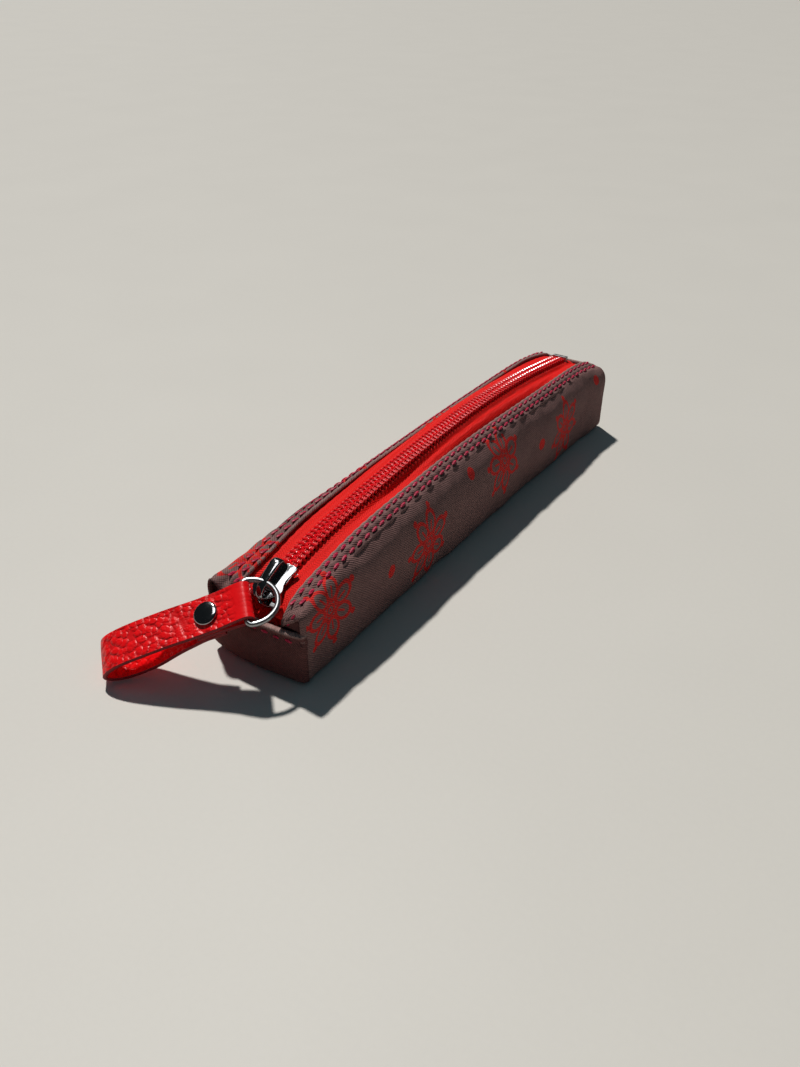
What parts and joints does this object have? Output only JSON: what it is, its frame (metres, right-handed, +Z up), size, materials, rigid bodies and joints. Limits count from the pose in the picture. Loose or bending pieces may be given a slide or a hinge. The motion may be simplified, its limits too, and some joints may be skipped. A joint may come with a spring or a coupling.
{
  "type": "pen case",
  "caption": "Slim zipped fabric pen case with a slider, a pull ring and a riveted leather loop as its pull.",
  "frame": {"origin": "middle of the flat base, on the surface it rests on", "axes": "+Z up; +Y along the case to its rear end; +X to the right as seen from the front end"},
  "size_m": [0.0553, 0.2303, 0.0364],
  "materials": {
    "printed_twill": "brown-mauve cotton twill with a red line print",
    "plain_twill": "plain brown-mauve cotton twill",
    "zip_tape_weave": "bright red herringbone tape",
    "zip_nylon": "glossy red nylon",
    "bright_steel": "bright plated wire",
    "dark_nickel": "dark nickel plate",
    "red_leather": "red pebble-grain leather"
  },
  "bodies": {
    "case": {"side_panel_left": "printed_twill", "side_panel_right": "printed_twill", "base_panel": "plain_twill", "front_end_panel": "plain_twill", "rear_end_panel": "plain_twill", "end_stop": "bright_steel"},
    "zip_flap_left": {"zip_tape_left": "zip_tape_weave", "zip_teeth_left": "zip_nylon", "top_stop_left": "bright_steel"},
    "zip_flap_right": {"zip_tape_right": "zip_tape_weave", "zip_teeth_right": "zip_nylon", "top_stop_right": "bright_steel"},
    "slider": {"slider_body": "dark_nickel"},
    "ring": {"pull_ring": "bright_steel"},
    "pull": {"strap_loop": "red_leather", "rivet_cap": "dark_nickel", "rivet_back": "dark_nickel"}
  },
  "joints": [
    {"name": "slider_travel", "type": "hinge", "parent": "case", "child": "slider", "pos_m": [0, 0.012, -0.46481], "axis": [-1, 0, 0], "range_deg": [0, 20], "deforming": ["zip_tape_left", "zip_tape_right", "zip_teeth_left", "zip_teeth_right", "strap_loop", "rivet_cap", "rivet_back"]},
    {"name": "zip_left_open", "type": "hinge", "parent": "case", "child": "zip_flap_left", "pos_m": [-0.00479, -0.09735, 0.02104], "axis": [-0.0125, -0.999, -0.0439], "range_deg": [0, 78.5]},
    {"name": "zip_right_open", "type": "hinge", "parent": "case", "child": "zip_flap_right", "pos_m": [0.00479, -0.09735, 0.02104], "axis": [-0.0125, 0.999, 0.0439], "range_deg": [0, 78.5]},
    {"name": "ring_swing", "type": "hinge", "parent": "slider", "child": "ring", "pos_m": [0, -0.09539, 0.02653], "axis": [-0.9593, -0.2187, 0.1789], "range_deg": [0, 150]},
    {"name": "strap_swing", "type": "hinge", "parent": "ring", "child": "pull", "pos_m": [-0.0005, -0.10314, 0.02391], "axis": [0.6638, -0.6308, -0.4019], "range_deg": [-30, 60]}
  ],
  "couplings": [
    {"joint": "zip_left_open", "follows": "slider_travel", "ratio": 3.9},
    {"joint": "zip_right_open", "follows": "slider_travel", "ratio": 3.9}
  ]
}
